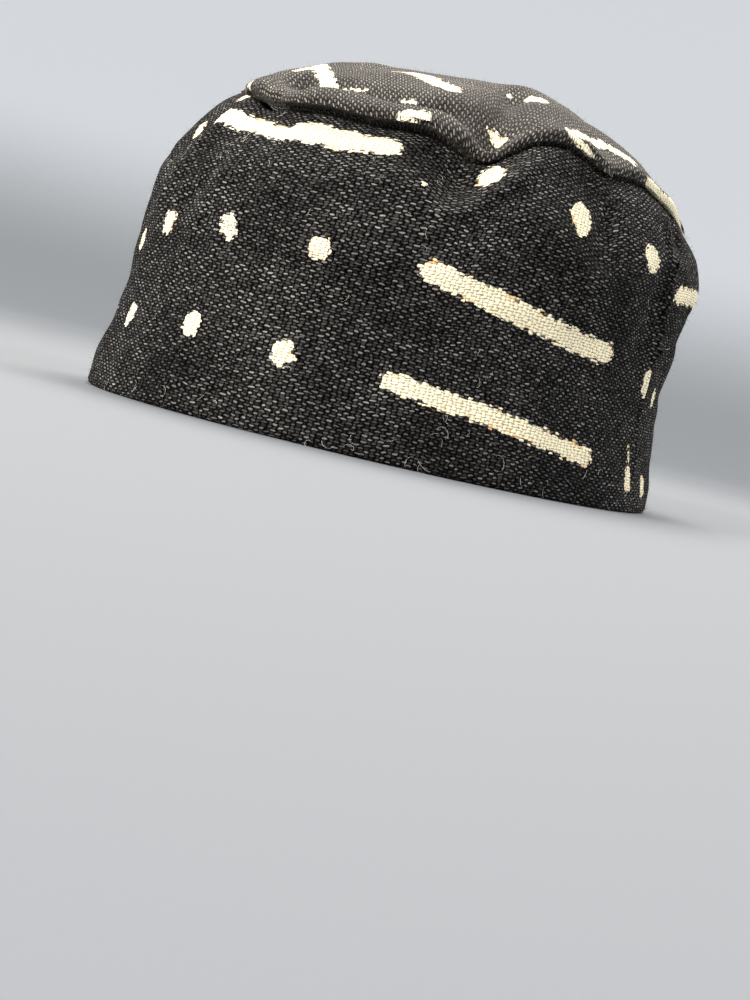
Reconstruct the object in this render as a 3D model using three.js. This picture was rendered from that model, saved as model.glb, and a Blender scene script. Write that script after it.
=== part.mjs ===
// A kufi: a brimless cap of mud cloth, with a tall side band and an oval top panel.
// Millimetres, +Z up. The cap stands on its rim at z = 0, centred on the origin.
// The wearer faces -Y, so angles round the cap run from 0 at the forehead
// to 90 at the wearer's left (+X), 180 at the back and 270 at the wearer's right.

import * as THREE from "three";

// Driving sizes
const SEAM_HEIGHT = 101; // mean height of the seam between the band and the top panel
const SEAM_HALF_WIDTH = 75.5; // the oval of that seam, seen from above
const SEAM_HALF_LENGTH = 90.5;
const SEAM_SHIFT_LEFT = 4; // the crown leans a little to the wearer's left and back
const SEAM_SHIFT_BACK = 12;
const SEAM_GAP = 0.3; // between the two pieces along the seam
const BAND_CLOTH = 1.8;
const HEM_CLOTH = 3.2; // the cloth and its turned-in hem together
const HEM_HEIGHT = 20;
const HEM_EDGE_RISE = 1.4; // height over which the wall thins from the hem to one layer
const RIM_ROUND = 0.9; // chamfer that rounds the folded edge at the rim
const PANEL_CLOTH = 1.6;

const SEAM_MEAN_RADIUS = (SEAM_HALF_WIDTH + SEAM_HALF_LENGTH) / 2;
const BAND_MM_PER_DEG = 1.77; // round the wall
const SEAM_MM_PER_DEG = 1.45; // round the seam
const WAVE_REACH_PER_DEG = 1.9; // how far a wave of the seam runs in over the top panel
const BAND_FOLD_FADE = 12; // the wall's folds die out over the last 1/12 of its height, at the seam
const PANEL_FOLD_FADE = 2; // the panel's folds die out over the inner 1/2 of its radius
const WAVE_FADE = 3; // and the seam's waves over the inner 1/3

// Small steps for the direction that faces out of a surface, and halvings for a place in a table
const DEG_STEP = 1;
const SHARE_STEP = 0.004;
const ROW_STEP = 0.04;
const HALVINGS = 40;

// The wall's profile from the rim to the seam
// height share, half width, half length, shift left, shift back
const BAND_PROFILE = [
  [0.0, 93.6, 112.1, 0.0, 0.0],
  [0.1, 92.6, 110.8, 0.0, 0.3],
  [0.28, 89.8, 107.4, 0.2, 0.8],
  [0.45, 88.8, 105.6, 0.2, 1.0],
  [0.62, 90.0, 106.2, 1.0, 2.8],
  [0.76, 89.0, 104.8, 2.2, 5.4],
  [0.87, 85.0, 100.6, 3.2, 8.2],
  [0.95, 80.4, 96.0, 3.8, 10.6],
  [1.0, SEAM_HALF_WIDTH, SEAM_HALF_LENGTH, SEAM_SHIFT_LEFT, SEAM_SHIFT_BACK],
];

// Where the seam rises above its mean height or sinks below it
// at degrees, half-width degrees, rise
const SEAM_WAVES = [
  [-54, 20, 4.4],
  [-25, 6, -2.4],
  [-14, 8, -1.6],
  [8, 16, -2.6],
  [26, 6, -1.8],
  [32.5, 7, -7.0],
  [56, 18, 7.0],
  [60, 9, -5.2],
  [118, 30, -6.5],
  [200, 40, -3.0],
];

// Soft folds of the wall, each along a straight line on the cloth: out is a ridge, in (negative) a groove
// from degrees, from height, to degrees, to height, half-width, out
const BAND_FOLDS = [
  [-10, 55, 36, 39, 5.0, -2.2], // slanting groove over the forehead
  [-12, 61, 20, 56, 5.0, 1.2],
  [-31, 88, -35, 62, 4.5, 1.8], // two upright ridges over the right temple, and the hollow between them
  [-17, 74, -22, 42, 4.5, 1.6],
  [-24, 68, -26, 62, 4.0, -1.8],
  [-66, 93, -46, 92, 8.0, 1.0],
  [18, 84, 28, 80, 5.0, 1.8], // ledge that curves below the pinch
  [28, 80, 38, 90, 5.0, 2.2],
  [38, 90, 46, 101, 6.0, 3.0],
  [22, 95, 31, 92, 5.0, -3.4], // hollow under the end of the roll
  [53, 98, 62, 84, 4.5, -2.0], // groove beside the left temple
  [62, 84, 60, 74, 4.5, -2.0],
  [44, 77, 63, 66, 5.5, 1.7], // shallow V below it
  [63, 66, 72, 75, 5.0, 1.7],
  [82, 70, 84, 55, 7.0, -2.2],
  [80.5, 98, 83.6, 82, 1.9, 1.3], // side seam
  [83.6, 82, 90, 55, 1.9, 1.2],
  [90, 55, 91.5, 12, 1.9, 0.9],
  [87, 98, 90, 91, 4.0, -3.2], // pocket under the panel's edge
  [104, 92, 107, 84, 8.5, 2.0], // bulge behind the side seam, cut in below
  [103, 69, 110, 66, 6.0, -2.2],
  [-26, 97.5, -10, 95.5, 4.0, -2.4], // hollow under the roll
  [112, 66, 116, 58, 10.0, -1.6],
  [150, 85, 200, 60, 7.0, -1.6], // folds of the back and the right side
  [196, 78, 236, 66, 6.0, 1.4],
  [250, 80, 285, 62, 6.0, -1.8],
  [120, 45, 165, 34, 6.0, -1.4],
];

// The top panel's own profile from the seam to its middle
// inset from the seam, rise above it
const PANEL_PROFILE = [
  [0, 0],
  [-1.4, 1.0],
  [-1.3, 3.2],
  [2, 5.8],
  [11, 9.6],
  [25, 15.4],
  [44, 22],
  [64, 26],
  [SEAM_MEAN_RADIUS, 27],
];

// Folds of the top panel, each along a line
// from degrees, from inset, to degrees, to inset, half-width, out, up
const PANEL_FOLDS = [
  [-80, 1, -44, 1, 5.0, -2.0, -1.2], // the edge lies flat over the right temple
  [-31, -1, -23, -2, 5.0, 1.8, 0.9], // the thin start of the roll
  [-17, -2, 24, -2, 3.8, 4.4, -1.5], // the roll's underside, over the front of the seam
  [-12, 3, 26, 2, 4.4, 2.5, 1.2], // the roll's upper side
  [-28, 11, 18, 12, 5.5, 0.0, -5.0], // the valley behind it, which runs into the pinch
  [18, 12, 33, 6, 5.5, -0.5, -4.4],
  [34, 9, 40, 34, 7.0, 0.0, -4.6], // the saddle that climbs from the pinch
  [43, -0.6, 60, -0.6, 2.8, 2.6, -0.8], // the lip beyond the pinch
  [60, -1, 76, 0, 3.5, 1.4, -1.0],
  [80, 4, 94, 4, 5.0, 0.5, -1.5],
  [100, 12, 150, 14, 14.0, 0.0, -4.5], // the low left and back shoulders
  [92, 34, 140, 34, 16.0, 0.0, -3.5],
  [-48, 28, -34, 36, 12.0, 0.0, 2.0], // the fuller right front
  [-75, 14, -100, 16, 14.0, -1.0, -3.0],
  [180, 16, 230, 16, 16.0, 0.0, -2.0],
  [50, 15, 70, 15, 9.0, 0.0, 1.5], // the crown above the lip
];

// Broad swells of the top panel
// x, y, reach along x, reach along y, up
const PANEL_SWELLS = [
  [-22, 8, 22, 26, 2.5],
  [34, -4, 16, 22, 2.4],
];

// Columns of the mesh, closer where the folds are
// from degrees, to degrees, step
const COLUMN_STRETCHES = [
  [-60, 120, 2.5],
  [120, 300, 5],
];

// Rows of the mesh
const BAND_OUTER_SHARES = [
  0.06, 0.12, 0.2, 0.28, 0.35, 0.42, 0.49, 0.56, 0.63, 0.7, 0.76, 0.82, 0.87, 0.91, 0.955,
];
const BAND_INNER_SHARES = [0.94, 0.87, 0.78, 0.68, 0.56, 0.44, 0.32];
const HEM_INNER_SHARES = [0.1];
const PANEL_OUTER_ROWS = [0, 0.5, 1, 1.5, 2, 2.5, 3, 3.5, 4, 4.5, 5, 6, 7];
const PANEL_INNER_ROWS = [7, 6, 5, 4.4, 3.8, 3.2, 2.6, 1.8];

const turn = THREE.MathUtils.degToRad;
const wrapped = (deg) => THREE.MathUtils.euclideanModulo(deg + 180, 360) - 180;

// The values of a table's columns at a place between its rows, on a smooth curve through the rows
function along(table, place) {
  const last = table.length - 1;
  const i = THREE.MathUtils.clamp(Math.floor(place), 0, last - 1);
  const f = place - i;
  const before = table[Math.max(i - 1, 0)];
  const after = table[Math.min(i + 2, last)];
  return table[i].map((b, column) => {
    const a = before[column];
    const c = table[i + 1][column];
    const d = after[column];
    return (2 * b + (c - a) * f + (2 * a - 5 * b + 4 * c - d) * f ** 2 + (3 * b - a - 3 * c + d) * f ** 3) / 2;
  });
}

// The place in a table whose first column has the value wanted, for a first column that only rises
function placeOf(table, wanted) {
  let low = 0;
  let high = table.length - 1;
  for (let step = 0; step < HALVINGS; step++) {
    const middle = (low + high) / 2;
    if (along(table, middle)[0] < wanted) low = middle;
    else high = middle;
  }
  return (low + high) / 2;
}

// How near a point of the cloth is to a fold's line, as 1 on the line and falling to 0 beside it
function nearness(deg, height, fromDeg, fromHeight, toDeg, toHeight, halfWidth, mmPerDeg) {
  const px = wrapped(deg - fromDeg) * mmPerDeg;
  const py = height - fromHeight;
  const bx = (toDeg - fromDeg) * mmPerDeg;
  const by = toHeight - fromHeight;
  const t = THREE.MathUtils.clamp((px * bx + py * by) / (bx * bx + by * by), 0, 1);
  return Math.exp(-((px - t * bx) ** 2 + (py - t * by) ** 2) / halfWidth ** 2);
}

// How far the seam's waves lift the cloth; on the top panel a narrow wave dies out sooner than a broad one
function seamRise(deg, inset = 0) {
  let rise = 0;
  for (const [atDeg, halfWidth, height] of SEAM_WAVES) {
    const across = wrapped(deg - atDeg) / halfWidth;
    const inward = Math.max(inset, 0) / (WAVE_REACH_PER_DEG * halfWidth);
    rise += height * Math.exp(-(across ** 2) - inward ** 2);
  }
  return rise;
}

// A point of the wall's outer face
function bandPoint(deg, share) {
  const [, halfWidth, halfLength, left, back] = along(BAND_PROFILE, placeOf(BAND_PROFILE, share));
  let out = 0;
  for (const [fromDeg, fromHeight, toDeg, toHeight, width, ridge] of BAND_FOLDS) {
    const height = share * SEAM_HEIGHT;
    out += ridge * nearness(deg, height, fromDeg, fromHeight, toDeg, toHeight, width, BAND_MM_PER_DEG);
  }
  out *= Math.min(1, (1 - share) * BAND_FOLD_FADE);
  return new THREE.Vector3(
    left + (halfWidth + out) * Math.sin(turn(deg)),
    back - (halfLength + out) * Math.cos(turn(deg)),
    share * (SEAM_HEIGHT + seamRise(deg)),
  );
}

// A point of the top panel's outer face, at a place between the rows of its profile
function panelPoint(deg, place) {
  const [inset, rise] = along(PANEL_PROFILE, place);
  const toMiddle = THREE.MathUtils.clamp(1 - inset / SEAM_MEAN_RADIUS, 0, 1);
  const fade = Math.min(1, place) * Math.min(1, toMiddle * PANEL_FOLD_FADE);
  let out = 0;
  let up = 0;
  for (const [fromDeg, fromInset, toDeg, toInset, width, outBy, upBy] of PANEL_FOLDS) {
    const near = nearness(deg, inset, fromDeg, fromInset, toDeg, toInset, width, SEAM_MM_PER_DEG);
    out += outBy * near * fade;
    up += upBy * near * fade;
  }
  const size = 1 - (inset - out) / SEAM_MEAN_RADIUS;
  const x = SEAM_SHIFT_LEFT + size * SEAM_HALF_WIDTH * Math.sin(turn(deg));
  const y = SEAM_SHIFT_BACK - size * SEAM_HALF_LENGTH * Math.cos(turn(deg));
  for (const [atX, atY, reachX, reachY, upBy] of PANEL_SWELLS) {
    up += upBy * Math.exp(-(((x - atX) / reachX) ** 2) - ((y - atY) / reachY) ** 2);
  }
  const wave = seamRise(deg, inset) * Math.min(1, toMiddle * WAVE_FADE);
  return new THREE.Vector3(x, y, SEAM_HEIGHT + wave + rise + up);
}

// The direction that faces out of a surface at one of its points
function outward(surface, deg, place, step) {
  const round = surface(deg + DEG_STEP, place).sub(surface(deg - DEG_STEP, place));
  const rise = surface(deg, place + step).sub(surface(deg, place - step));
  return round.cross(rise).normalize();
}

function inside(surface, deg, place, step, depth) {
  return surface(deg, place).addScaledVector(outward(surface, deg, place, step), -depth);
}

// A point moved straight in towards the cap's axis
function movedIn(point, depth) {
  const axis = new THREE.Vector3(SEAM_SHIFT_LEFT, SEAM_SHIFT_BACK, point.z);
  return point.clone().add(axis.sub(point).setLength(depth));
}

function columnAngles() {
  const angles = [];
  for (const [from, to, step] of COLUMN_STRETCHES) {
    for (let deg = from; deg < to; deg += step) angles.push(deg);
  }
  return angles;
}

// Joins sections that stand at each column angle. Each section is a list of points,
// from the outer face over the top to the inner face.
// closed says whether its last point joins its first; the sections always close round the cap.
function skin(sections, closed, firstPole, lastPole) {
  const rows = sections[0].length;
  const positions = sections.flat();
  const index = [];
  const at = (column, row) => (column % sections.length) * rows + (row % rows);
  for (let i = 0; i < sections.length; i++) {
    for (let k = 0; k < (closed ? rows : rows - 1); k++) {
      index.push(at(i, k), at(i + 1, k), at(i + 1, k + 1));
      index.push(at(i, k), at(i + 1, k + 1), at(i, k + 1));
    }
    if (firstPole) index.push(positions.length, at(i + 1, 0), at(i, 0));
    if (lastPole) index.push(at(i, rows - 1), at(i + 1, rows - 1), positions.length + 1);
  }
  if (firstPole) positions.push(firstPole);
  if (lastPole) positions.push(lastPole);
  const geometry = new THREE.BufferGeometry().setFromPoints(positions);
  geometry.setIndex(index);
  geometry.computeVertexNormals();
  return geometry;
}

// One upright cut through the wall: up its outer face, across the top edge, down inside, round the rim
function bandSection(deg) {
  const roundShare = RIM_ROUND / SEAM_HEIGHT;
  const hemTop = HEM_HEIGHT / SEAM_HEIGHT;
  const thinFrom = hemTop + HEM_EDGE_RISE / SEAM_HEIGHT;
  const wall = (share, depth) => inside(bandPoint, deg, share, SHARE_STEP, depth);
  const rim = (depth) => movedIn(bandPoint(deg, 0), depth);
  const top = bandPoint(deg, 1);
  top.z -= SEAM_GAP;
  return [
    bandPoint(deg, roundShare),
    ...BAND_OUTER_SHARES.map((share) => bandPoint(deg, share)),
    top,
    movedIn(top, BAND_CLOTH),
    ...BAND_INNER_SHARES.map((share) => wall(share, BAND_CLOTH)),
    wall(thinFrom, BAND_CLOTH),
    wall(hemTop, HEM_CLOTH),
    ...HEM_INNER_SHARES.map((share) => wall(share, HEM_CLOTH)),
    movedIn(bandPoint(deg, roundShare), HEM_CLOTH),
    rim(HEM_CLOTH - RIM_ROUND),
    rim(RIM_ROUND),
  ];
}

// One cut through half of the top panel, from the seam to near its middle and back along its inner face.
// The two middles close the panel.
function topPanelGeometry() {
  const outer = [];
  const inner = [];
  for (const deg of columnAngles()) {
    const edge = panelPoint(deg, 0);
    outer.push(PANEL_OUTER_ROWS.map((place) => panelPoint(deg, place)));
    inner.push([
      ...PANEL_INNER_ROWS.map((place) => inside(panelPoint, deg, place, ROW_STEP, PANEL_CLOTH)),
      movedIn(edge, PANEL_CLOTH),
    ]);
  }
  const middle = panelPoint(0, PANEL_PROFILE.length - 1);
  const middleInside = middle.clone().setZ(middle.z - PANEL_CLOTH);
  // Starting each section at the inner middle and ending at the outer middle keeps one closed skin
  const sections = outer.map((points, i) => [...inner[i], ...points]);
  return skin(sections, false, middleInside, middle);
}

const darkCloth = new THREE.MeshStandardMaterial({ color: 0x2c2a29, roughness: 0.95, metalness: 0 });
const topCloth = new THREE.MeshStandardMaterial({ color: 0x3a3733, roughness: 0.95, metalness: 0 });

const sideBand = new THREE.Mesh(skin(columnAngles().map(bandSection), true), darkCloth);
sideBand.name = "side_band";

const topPanel = new THREE.Mesh(topPanelGeometry(), topCloth);
topPanel.name = "top_panel";

const kufi = new THREE.Group();
kufi.name = "kufi";
kufi.add(sideBand, topPanel);

export default kufi;
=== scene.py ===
# %% [markdown]
# # A kufi cut from mud cloth
# This lesson builds a brimless cap of coarse, hand-woven cotton. Two pieces of cloth make it: a side band
# closed into a ring, and an oval top panel sewn to the band's upper edge. The top panel is a little too
# large for its seam, so it rolls over the edge at the front, pinches over the left temple and slumps behind.
# Everything is worked out in millimetres and turned into metres only when it goes into a mesh.

import bpy
import numpy as np
from mathutils import Matrix


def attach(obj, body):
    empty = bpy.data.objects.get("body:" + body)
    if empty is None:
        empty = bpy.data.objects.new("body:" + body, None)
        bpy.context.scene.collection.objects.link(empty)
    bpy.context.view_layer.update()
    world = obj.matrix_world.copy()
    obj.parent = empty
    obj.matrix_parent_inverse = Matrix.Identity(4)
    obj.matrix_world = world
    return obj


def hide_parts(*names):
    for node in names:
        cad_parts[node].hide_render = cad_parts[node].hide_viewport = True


MM = 0.001
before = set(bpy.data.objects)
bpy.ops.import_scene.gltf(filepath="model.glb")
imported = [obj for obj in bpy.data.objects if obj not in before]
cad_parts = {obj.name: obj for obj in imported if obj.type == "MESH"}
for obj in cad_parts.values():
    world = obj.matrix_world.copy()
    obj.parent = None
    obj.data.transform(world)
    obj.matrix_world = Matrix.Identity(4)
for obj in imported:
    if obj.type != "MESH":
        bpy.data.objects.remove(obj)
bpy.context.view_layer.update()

# %% [markdown]
# ## The camera
# A portrait of a cap is taken from nearly its own height. The camera stands 25 degrees round from the
# wearer's forehead, just above the floor, and leans 13.6 degrees, because the cap was worn at a tilt.
# Aiming a camera with three axes is clearer than three angles: back, right and up are its own directions.

# %% Camera
CAMERA_TURN, CAMERA_RISE, CAMERA_LEAN = np.radians([25.0, 2.2, 13.6])
CAMERA_DISTANCE = 650.0
AIM_BELOW, AIM_RIGHT = 18.2, 0.86  # mm from the middle of the rim, so that the cap sits high in the frame
LENS = 67.97  # mm, on a 36 mm sensor


def standing(right, up, back, place):
    """Matrix of a thing whose own x, y and z point right, up and back, at this place in metres."""
    return Matrix([[right[i], up[i], back[i], place[i]] for i in range(3)] + [[0, 0, 0, 1]])


away = np.array([
    np.sin(CAMERA_TURN) * np.cos(CAMERA_RISE),
    -np.cos(CAMERA_TURN) * np.cos(CAMERA_RISE),
    np.sin(CAMERA_RISE),
])
level = np.array([np.cos(CAMERA_TURN), np.sin(CAMERA_TURN), 0.0])
plumb = np.cross(away, level)
leaning_right = np.cos(CAMERA_LEAN) * level + np.sin(CAMERA_LEAN) * plumb
leaning_up = -np.sin(CAMERA_LEAN) * level + np.cos(CAMERA_LEAN) * plumb
camera_place = away * CAMERA_DISTANCE
aim = -AIM_BELOW * leaning_up + AIM_RIGHT * leaning_right
camera_back = (camera_place - aim) / np.linalg.norm(camera_place - aim)
camera_right = np.cross(leaning_up, camera_back)
camera_right /= np.linalg.norm(camera_right)
camera_up = np.cross(camera_back, camera_right)

camera = bpy.data.objects.new("camera", bpy.data.cameras.new("camera"))
bpy.context.scene.collection.objects.link(camera)
camera.data.lens = LENS
camera.data.clip_start = 0.01
camera.matrix_world = standing(camera_right, camera_up, camera_back, camera_place * MM)
bpy.context.scene.camera = camera
print("camera at", [round(c, 1) for c in camera_place], "mm")

# %% [markdown]
# ## The shape of the band
# The band stands nearly upright, bulges a little at two thirds of its height and turns in to the seam. One
# way is to sculpt it; here its profile is a short table, and a smooth curve runs through the table's rows.
# Folds are a second table: each is a straight line on the cloth, and the cloth moves out or in near it.

# %% Sizes and tables of the band
SEAM_HEIGHT = 101.0  # mean height of the seam between the band and the top panel
SEAM_HALF_WIDTH, SEAM_HALF_LENGTH = 75.5, 90.5
SEAM_SHIFT_LEFT, SEAM_SHIFT_BACK = 4.0, 12.0
SEAM_MEAN_RADIUS = 83.0
BAND_MM_PER_DEG, SEAM_MM_PER_DEG = 1.77, 1.45

# height share, half width, half length, shift left, shift back
BAND_PROFILE = [
    (0.00, 93.6, 112.1, 0.0, 0.0),
    (0.10, 92.6, 110.8, 0.0, 0.3),
    (0.28, 89.8, 107.4, 0.2, 0.8),
    (0.45, 88.8, 105.6, 0.2, 1.0),
    (0.62, 90.0, 106.2, 1.0, 2.8),
    (0.76, 89.0, 104.8, 2.2, 5.4),
    (0.87, 85.0, 100.6, 3.2, 8.2),
    (0.95, 80.4, 96.0, 3.8, 10.6),
    (1.00, SEAM_HALF_WIDTH, SEAM_HALF_LENGTH, SEAM_SHIFT_LEFT, SEAM_SHIFT_BACK),
]
# at degrees, half-width degrees, rise of the seam
SEAM_WAVES = [
    (-54, 20, 4.4), (-25, 6, -2.4), (-14, 8, -1.6), (8, 16, -2.6), (26, 6, -1.8), (32.5, 7, -7.0),
    (56, 18, 7.0), (60, 9, -5.2), (118, 30, -6.5), (200, 40, -3.0),
]
WAVE_REACH_PER_DEG = 1.9
# from degrees, from height, to degrees, to height, half-width, out
BAND_FOLDS = [
    (-10, 55, 36, 39, 5.0, -2.2), (-12, 61, 20, 56, 5.0, 1.2),  # slanting groove over the forehead
    (-31, 88, -35, 62, 4.5, 1.8), (-17, 74, -22, 42, 4.5, 1.6),  # two ridges over the right temple
    (-24, 68, -26, 62, 4.0, -1.8), (-66, 93, -46, 92, 8.0, 1.0),
    (18, 84, 28, 80, 5.0, 1.8), (28, 80, 38, 90, 5.0, 2.2), (38, 90, 46, 101, 6.0, 3.0),  # under the pinch
    (22, 95, 31, 92, 5.0, -3.4),
    (53, 98, 62, 84, 4.5, -2.0), (62, 84, 60, 74, 4.5, -2.0),  # groove beside the left temple
    (44, 77, 63, 66, 5.5, 1.7), (63, 66, 72, 75, 5.0, 1.7), (82, 70, 84, 55, 7.0, -2.2),
    (80.5, 98, 83.6, 82, 1.9, 1.3), (83.6, 82, 90, 55, 1.9, 1.2), (90, 55, 91.5, 12, 1.9, 0.9),  # side seam
    (87, 98, 90, 91, 4.0, -3.2), (104, 92, 107, 84, 8.5, 2.0), (103, 69, 110, 66, 6.0, -2.2),
    (-26, 97.5, -10, 95.5, 4.0, -2.4), (112, 66, 116, 58, 10.0, -1.6),
    (150, 85, 200, 60, 7.0, -1.6), (196, 78, 236, 66, 6.0, 1.4),  # back and right side
    (250, 80, 285, 62, 6.0, -1.8), (120, 45, 165, 34, 6.0, -1.4),
]

# %% [markdown]
# ## From tables to a surface
# A smooth curve through a table could be a curve object with handles. A formula does the same for a whole
# array of places at once, and its rows stay the sizes that a hat maker would measure. A fold comes on top:
# the cloth lifts along a line and falls off softly beside it, as real cloth does over a crease.

# %% A smooth curve through a table
def wrapped(deg):
    """The same angle between -180 and 180 degrees."""
    return (deg + 180.0) % 360.0 - 180.0


def through(table, place):
    """A smooth curve through a table's rows: between rows it is the cubic that has, at each row,
    the slope from the row before to the row after."""
    rows = np.array(table, float)
    i = np.clip(np.floor(place).astype(int), 0, len(rows) - 2)
    f = (place - i)[..., None]
    a, b, c = rows[np.maximum(i - 1, 0)], rows[i], rows[i + 1]
    d = rows[np.minimum(i + 2, len(rows) - 1)]
    return (2 * b + (c - a) * f + (2 * a - 5 * b + 4 * c - d) * f**2 + (3 * b - a - 3 * c + d) * f**3) / 2


# %% Folds along lines, and the waves of the seam
def fold_lift(table, deg, height, mm_per_deg):
    """How far the folds move the cloth. Each fold is a line on the cloth, and its lift falls off beside it
    as a bell curve, exp(-(distance / half-width)^2)."""
    total = 0.0
    for from_deg, from_height, to_deg, to_height, half_width, *lift in table:
        across, rise = wrapped(deg - from_deg) * mm_per_deg, height - from_height
        run_across, run_rise = (to_deg - from_deg) * mm_per_deg, to_height - from_height
        t = np.clip((across * run_across + rise * run_rise) / (run_across**2 + run_rise**2), 0, 1)
        gap = (across - t * run_across) ** 2 + (rise - t * run_rise) ** 2
        total = total + np.exp(-gap / half_width**2)[..., None] * np.array(lift, float)
    return total


def seam_rise(deg, inset=0.0):
    """Height that the seam's waves add: bell curves round the cap, which fade in over the top panel."""
    total = 0.0
    for at, half_width, height in SEAM_WAVES:
        inward = np.maximum(inset, 0) / (WAVE_REACH_PER_DEG * half_width)
        total = total + height * np.exp(-((wrapped(deg - at) / half_width) ** 2) - inward**2)
    return total


# %% The band's outer face
FINE_STEPS = 800
FOLDS_END = 12  # the folds fade out over the last twelfth of the height, towards the seam
PLACES = np.linspace(0, len(BAND_PROFILE) - 1, FINE_STEPS)
SHARES = through(BAND_PROFILE, PLACES)[:, 0]


def band_surface(deg, share):
    """A point of the band's outer face: an oval (x = half width * sin, y = -half length * cos), whose size
    and middle come from the profile at this share of the height, moved out or in by the folds."""
    profile = through(BAND_PROFILE, np.interp(share, SHARES, PLACES))
    _, half_x, half_y, left, behind = np.moveaxis(profile, -1, 0)
    out = fold_lift(BAND_FOLDS, deg, share * SEAM_HEIGHT, BAND_MM_PER_DEG)[..., 0]
    out = out * np.clip((1 - share) * FOLDS_END, 0, 1)
    angle = np.radians(deg)
    x = left + (half_x + out) * np.sin(angle)
    y = behind - (half_y + out) * np.cos(angle)
    return np.stack([x, y, share * (SEAM_HEIGHT + seam_rise(deg))], -1)


seam_heights = SEAM_HEIGHT + seam_rise(np.arange(360.0))
print("seam height runs from", np.round(seam_heights.min(), 1), "to", np.round(seam_heights.max(), 1), "mm")

# %% [markdown]
# ## The shape of the top panel
# The top panel's profile runs from the seam, out over it, and up to the middle. Its folds have two numbers:
# how far the cloth moves out and how far up. The roll at the front is nothing more than two such folds.

# %% Tables of the top panel
# inset from the seam, rise above it
PANEL_PROFILE = [
    (0.0, 0.0), (-1.4, 1.0), (-1.3, 3.2), (2.0, 5.8), (11.0, 9.6), (25.0, 15.4), (44.0, 22.0), (64.0, 26.0),
    (SEAM_MEAN_RADIUS, 27.0),
]
# from degrees, from inset, to degrees, to inset, half-width, out, up
PANEL_FOLDS = [
    (-80, 1, -44, 1, 5.0, -2.0, -1.2),  # no lip on the right
    (-31, -1, -23, -2, 5.0, 1.8, 0.9),  # then a thin roll
    (-17, -2, 24, -2, 3.8, 4.4, -1.5), (-12, 3, 26, 2, 4.4, 2.5, 1.2),  # underside and upper side of the roll
    (-28, 11, 18, 12, 5.5, 0.0, -5.0), (18, 12, 33, 6, 5.5, -0.5, -4.4),  # valley behind it, into the pinch
    (34, 9, 40, 34, 7.0, 0.0, -4.6),
    (43, -0.6, 60, -0.6, 2.8, 2.6, -0.8), (60, -1, 76, 0, 3.5, 1.4, -1.0),  # lip
    (80, 4, 94, 4, 5.0, 0.5, -1.5), (100, 12, 150, 14, 14.0, 0.0, -4.5), (92, 34, 140, 34, 16.0, 0.0, -3.5),
    (-48, 28, -34, 36, 12.0, 0.0, 2.0), (-75, 14, -100, 16, 14.0, -1.0, -3.0),
    (180, 16, 230, 16, 16.0, 0.0, -2.0), (50, 15, 70, 15, 9.0, 0.0, 1.5),
]
# x, y, reach along x, reach along y, up
PANEL_SWELLS = [(-22, 8, 22, 26, 2.5), (34, -4, 16, 22, 2.4)]

# %% The top panel's outer face
FOLDS_CALM, WAVES_CALM = 2, 3  # folds fade out in the inner half of the panel, waves in its inner third


def panel_surface(deg, place):
    """A point of the top panel's outer face: the seam's oval shrunk by inset / mean radius, raised by the
    profile, the seam's waves, the folds and the broad swells."""
    inset, rise = np.moveaxis(through(PANEL_PROFILE, place), -1, 0)
    to_middle = np.clip(1 - inset / SEAM_MEAN_RADIUS, 0, 1)
    fade = np.clip(place, 0, 1) * np.clip(to_middle * FOLDS_CALM, 0, 1)
    lift = fold_lift(PANEL_FOLDS, deg, inset, SEAM_MM_PER_DEG) * fade[..., None]
    size = 1 - (inset - lift[..., 0]) / SEAM_MEAN_RADIUS
    angle = np.radians(deg)
    x = SEAM_SHIFT_LEFT + size * SEAM_HALF_WIDTH * np.sin(angle)
    y = SEAM_SHIFT_BACK - size * SEAM_HALF_LENGTH * np.cos(angle)
    raised = lift[..., 1]
    for at_x, at_y, reach_x, reach_y, swell in PANEL_SWELLS:
        raised = raised + swell * np.exp(-(((x - at_x) / reach_x) ** 2) - ((y - at_y) / reach_y) ** 2)
    wave = seam_rise(deg, inset) * np.clip(to_middle * WAVES_CALM, 0, 1)
    return np.stack([x, y, SEAM_HEIGHT + wave + rise + raised], -1)


# %% [markdown]
# ## Places on the cloth
# A weave and a dyed mark belong to the cloth, not to the room. So every point gets its place on the flat
# cloth: on the band, how far round it is from the front and how far up from the rim; on the top panel,
# where it lay on the flat oval before sewing. The yarns then bend with every fold.

# %% Flat places of the band and of the panel
SIDE_SEAM = 89.0  # degrees, mean place of the seam that closes the band
MID_SHARE = 0.45
TURNS = np.linspace(SIDE_SEAM - 360, SIDE_SEAM, 2881)  # steps of an eighth of a degree
MID_RING = band_surface(TURNS, np.full_like(TURNS, MID_SHARE))
ROUND = np.concatenate([[0], np.cumsum(np.linalg.norm(np.diff(MID_RING, axis=0), axis=1))])
ROUND -= np.interp(0.0, TURNS, ROUND)
print("the band is", round(ROUND[-1] - ROUND[0], 1), "mm round at mid height")


def lengths_up(points):
    """Distance along the cloth from the first row, summed up each column of a grid of points."""
    steps = np.linalg.norm(np.diff(points, axis=0), axis=-1)
    return np.concatenate([np.zeros_like(steps[:1]), np.cumsum(steps, axis=0)])


def panel_flat(deg, from_middle):
    """Place on the flat cloth: as far from the middle as on the crown, and in the direction of the seam's
    oval, way = (half width * sin, -half length * cos) made one long."""
    angle = np.radians(deg)
    way = np.stack([SEAM_HALF_WIDTH * np.sin(angle), -SEAM_HALF_LENGTH * np.cos(angle)], -1)
    return from_middle[..., None] * way / np.linalg.norm(way, axis=-1, keepdims=True)


# %% [markdown]
# ## Marks dyed on the cloth
# Mud cloth is dyed dark round its marks, or bleached in them, by hand: short strokes and dots in rows.
# The chart below lists each mark as a line on the flat cloth with a half width. A dot is a very short line.
# Working out each point's distance to the nearest mark's edge keeps the edge sharp at any mesh size, and
# leaves the ragged, yarn by yarn look of that edge to the material.

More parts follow.
